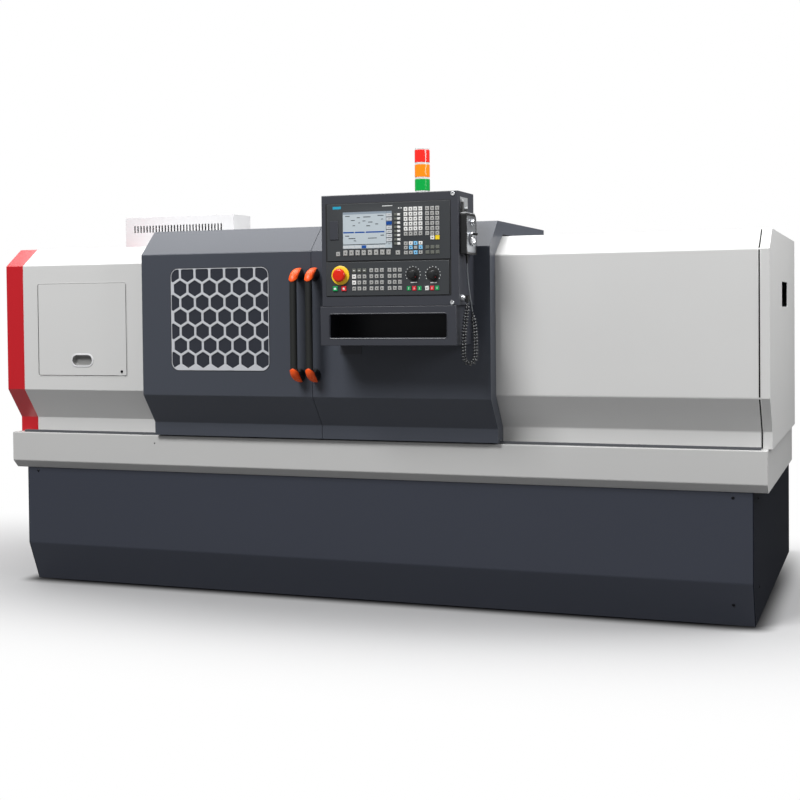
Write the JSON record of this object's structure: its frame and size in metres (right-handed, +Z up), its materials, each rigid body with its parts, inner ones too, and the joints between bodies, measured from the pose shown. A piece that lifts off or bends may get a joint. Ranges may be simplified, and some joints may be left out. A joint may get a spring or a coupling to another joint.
{
  "type": "cnc turning lathe",
  "caption": "Enclosed flat-bed CNC turning lathe: headstock with chuck, carriage with tool post, tailstock, sliding doors with window, control box with signal tower, chip tray and base.",
  "frame": {"origin": "on the floor, at the centre of the anchor holes in the bed pedestals, under the spindle axis", "axes": "+X along the spindle towards the tailstock, -Y towards the operator, +Z up"},
  "size_m": [3.313, 2.1, 1.832],
  "materials": {
    "anthracite_paint": "fine-texture powder coat",
    "light_grey_paint": "satin powder coat",
    "white_paint": "satin powder coat",
    "red_paint": "satin powder coat",
    "box_paint": "satin powder coat",
    "grille_silver": "silver powder coat",
    "cast_iron": "machined and painted casting",
    "steel": "ground steel",
    "chrome": "polished",
    "zinc_steel": "zinc plated",
    "motor_paint": "black enamel",
    "belt_rubber": "ribbed rubber",
    "window_glass": "tinted laminated glass",
    "handle_black": "fine-texture black",
    "panel_grey": "fine-texture dark grey",
    "screen_lcd": "lit display",
    "red_plastic": "gloss red",
    "green_plastic": "gloss green",
    "knob_black": "matt black",
    "lens_green": "clear coloured lens",
    "lens_orange": "clear coloured lens",
    "lens_red": "clear coloured lens",
    "tower_white": "white plastic",
    "cord_grey": "smooth grey sheath",
    "cord_black": "black sheath"
  },
  "bodies": {
    "machine": {"bed_pedestals": "cast_iron", "base_front_panel": "anthracite_paint", "base_side_panels": "anthracite_paint", "chip_tray": "light_grey_paint", "coolant_unit": "light_grey_paint", "bed": "cast_iron", "headstock": "cast_iron", "main_motor": "motor_paint", "drive_belt": "belt_rubber", "left_end_cap": "red_paint", "left_cover": "light_grey_paint", "right_cover": "light_grey_paint", "right_end_cover": "light_grey_paint", "rear_wall": "light_grey_paint", "door_rails": "steel", "cabinet_body": "white_paint", "z_servo_motor": "motor_paint"},
    "cabinet_door": {"cabinet_door": "white_paint"},
    "access_panel": {"access_panel": "light_grey_paint"},
    "spindle": {"spindle": "steel", "chuck_body": "steel"},
    "motor_pulley": {"motor_pulley": "cast_iron"},
    "jaw_1": {"chuck_jaw_1": "steel"},
    "jaw_2": {"chuck_jaw_2": "steel"},
    "jaw_3": {"chuck_jaw_3": "steel"},
    "z_screw": {"z_ball_screw": "steel"},
    "carriage": {"saddle": "cast_iron", "x_servo_motor": "motor_paint"},
    "x_screw": {"x_ball_screw": "steel"},
    "cross_slide": {"cross_slide": "cast_iron"},
    "turret": {"tool_turret": "steel"},
    "tailstock": {"tailstock_body": "cast_iron"},
    "quill": {"tailstock_quill": "steel"},
    "quill_handwheel": {"tailstock_handwheel": "cast_iron"},
    "left_door": {"left_door": "anthracite_paint", "door_window": "window_glass", "window_grille": "grille_silver", "left_handle": "handle_black"},
    "right_door": {"right_door": "anthracite_paint", "right_handle": "handle_black", "control_box": "box_paint", "display_panel": "panel_grey", "screen": "screen_lcd", "button_panel": "panel_grey", "pocket_tray": "box_paint", "tower_fittings": "tower_white", "green_lens": "lens_green", "orange_lens": "lens_orange", "red_lens": "lens_red", "pendant_body": "knob_black", "pendant_fittings": "zinc_steel", "pendant_cord_tail": "cord_grey", "pendant_curly_cord": "cord_black"},
    "emergency_stop": {"emergency_stop": "red_plastic"},
    "start_button": {"start_button": "green_plastic"},
    "stop_button": {"stop_button": "red_plastic"},
    "spindle_override_knob": {"spindle_override_knob": "knob_black"},
    "feed_override_knob": {"feed_override_knob": "knob_black"},
    "pendant_handwheel": {"pendant_handwheel": "chrome"},
    "pendant_selector": {"pendant_selector": "chrome"}
  },
  "joints": [
    {"name": "spindle_spin", "type": "hinge", "parent": "machine", "child": "spindle", "pos_m": [-0.9, 0, 1.11], "axis": [1, 0, 0], "continuous": true},
    {"name": "motor_pulley_spin", "type": "hinge", "parent": "machine", "child": "motor_pulley", "pos_m": [-1.4, 0.4, 0.33], "axis": [1, 0, 0], "continuous": true},
    {"name": "jaw_1_slide", "type": "slide", "parent": "spindle", "child": "jaw_1", "axis": [0, 0, 1], "range_m": [-0.02, 0.03]},
    {"name": "jaw_2_slide", "type": "slide", "parent": "spindle", "child": "jaw_2", "axis": [0, -0.866, -0.5], "range_m": [-0.02, 0.03]},
    {"name": "jaw_3_slide", "type": "slide", "parent": "spindle", "child": "jaw_3", "axis": [0, 0.866, -0.5], "range_m": [-0.02, 0.03]},
    {"name": "carriage_slide", "type": "slide", "parent": "machine", "child": "carriage", "axis": [1, 0, 0], "range_m": [-0.13, 1.05]},
    {"name": "z_screw_turn", "type": "hinge", "parent": "machine", "child": "z_screw", "pos_m": [0, -0.238, 0.76], "axis": [1, 0, 0], "continuous": true},
    {"name": "cross_slide_travel", "type": "slide", "parent": "carriage", "child": "cross_slide", "axis": [0, 1, 0], "range_m": [-0.11, 0.16]},
    {"name": "x_screw_turn", "type": "hinge", "parent": "carriage", "child": "x_screw", "pos_m": [-0.35, 0, 0.87], "axis": [0, 1, 0], "continuous": true},
    {"name": "turret_index", "type": "hinge", "parent": "cross_slide", "child": "turret", "pos_m": [-0.35, -0.29, 1], "axis": [0, 0, 1], "continuous": true},
    {"name": "tailstock_slide", "type": "slide", "parent": "machine", "child": "tailstock", "axis": [1, 0, 0], "range_m": [-0.6, 0.1]},
    {"name": "quill_handwheel_turn", "type": "hinge", "parent": "tailstock", "child": "quill_handwheel", "pos_m": [1.16, 0, 1.11], "axis": [1, 0, 0], "range_deg": [0, 10800]},
    {"name": "quill_slide", "type": "slide", "parent": "tailstock", "child": "quill", "axis": [1, 0, 0], "range_m": [-0.15, 0]},
    {"name": "left_door_slide", "type": "slide", "parent": "machine", "child": "left_door", "axis": [1, 0, 0], "range_m": [-0.7, 0]},
    {"name": "right_door_slide", "type": "slide", "parent": "machine", "child": "right_door", "axis": [1, 0, 0], "range_m": [0, 0.7]},
    {"name": "access_panel_hinge", "type": "hinge", "parent": "machine", "child": "access_panel", "pos_m": [-1.2555, -0.6, 1.342], "axis": [-1, 0, 0], "range_deg": [0, 90]},
    {"name": "cabinet_door_hinge", "type": "hinge", "parent": "machine", "child": "cabinet_door", "pos_m": [-1.644, 0.59, 1.2], "axis": [0, 0, 1], "range_deg": [0, 120]},
    {"name": "emergency_stop_press", "type": "slide", "parent": "right_door", "child": "emergency_stop", "axis": [0, 1, 0], "range_m": [0, 0.004]},
    {"name": "start_button_press", "type": "slide", "parent": "right_door", "child": "start_button", "axis": [0, 1, 0], "range_m": [0, 0.003], "stiffness_N_per_m": 300},
    {"name": "stop_button_press", "type": "slide", "parent": "right_door", "child": "stop_button", "axis": [0, 1, 0], "range_m": [0, 0.003], "stiffness_N_per_m": 300},
    {"name": "spindle_override_turn", "type": "hinge", "parent": "right_door", "child": "spindle_override_knob", "pos_m": [0.385, -0.88, 1.346], "axis": [0, 1, 0], "range_deg": [-150, 150]},
    {"name": "feed_override_turn", "type": "hinge", "parent": "right_door", "child": "feed_override_knob", "pos_m": [0.464, -0.88, 1.344], "axis": [0, 1, 0], "range_deg": [-150, 150]},
    {"name": "pendant_handwheel_turn", "type": "hinge", "parent": "right_door", "child": "pendant_handwheel", "pos_m": [0.595, -0.797, 1.478], "axis": [1, 0, 0], "continuous": true},
    {"name": "pendant_selector_turn", "type": "hinge", "parent": "right_door", "child": "pendant_selector", "pos_m": [0.595, -0.797, 1.54], "axis": [1, 0, 0], "range_deg": [-60, 60]}
  ],
  "couplings": [
    {"joint": "motor_pulley_spin", "follows": "spindle_spin", "ratio": 1.4667},
    {"joint": "jaw_2_slide", "follows": "jaw_1_slide", "ratio": 1},
    {"joint": "jaw_3_slide", "follows": "jaw_1_slide", "ratio": 1},
    {"joint": "z_screw_turn", "follows": "carriage_slide", "rad_per_m": 628.32},
    {"joint": "x_screw_turn", "follows": "cross_slide_travel", "rad_per_m": 1256.6},
    {"joint": "quill_slide", "follows": "quill_handwheel_turn", "m_per_rad": -0.000795}
  ]
}
